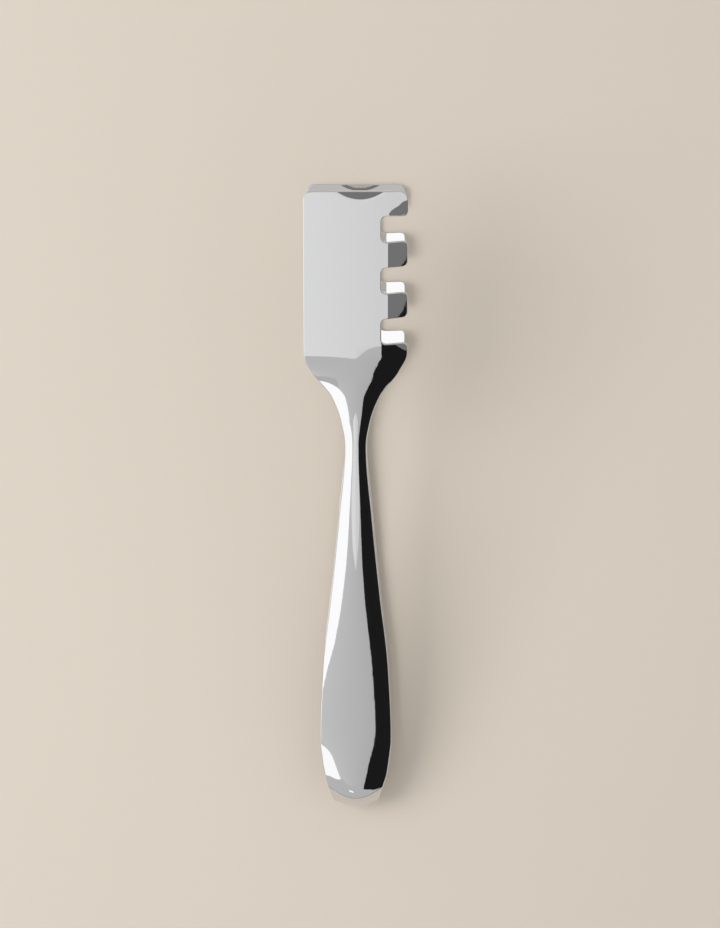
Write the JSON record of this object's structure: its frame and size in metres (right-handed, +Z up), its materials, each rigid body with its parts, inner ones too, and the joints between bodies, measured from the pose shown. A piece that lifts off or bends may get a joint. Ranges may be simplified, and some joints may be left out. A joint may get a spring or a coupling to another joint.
{
  "type": "serving tongs",
  "caption": "Mirror-polished steel spring tongs for serving: flat heads with inward-turned teeth along one edge, narrow necks and crowned handles joined by a U-shaped spring bow.",
  "frame": {"origin": "on the table, under the middle of the object's box", "axes": "+Y from the spring bow to the tips, +X to the toothed side, +Z up"},
  "size_m": [0.04, 0.25, 0.0806],
  "materials": {
    "arm_steel": "mirror-polished stainless steel",
    "bow_steel": "mirror-polished stainless spring steel"
  },
  "bodies": {
    "lower_arm": {"lower_arm": "arm_steel"},
    "spring_bow": {"spring_bow": "bow_steel"},
    "upper_arm": {"upper_arm": "arm_steel"}
  },
  "joints": [
    {"name": "lower_flex", "type": "hinge", "parent": "lower_arm", "child": "spring_bow", "pos_m": [0, -0.115, 0.0032], "axis": [-1, 0, 0], "range_deg": [0, 8.4], "stiffness_Nm_per_rad": 8, "springref_deg": -0.8},
    {"name": "upper_flex", "type": "hinge", "parent": "spring_bow", "child": "upper_arm", "pos_m": [0, -0.11673, 0.01658], "axis": [-1, 0, 0], "range_deg": [0, 8.4], "stiffness_Nm_per_rad": 8, "springref_deg": -0.8}
  ],
  "couplings": [
    {"joint": "upper_flex", "follows": "lower_flex", "ratio": 1}
  ]
}
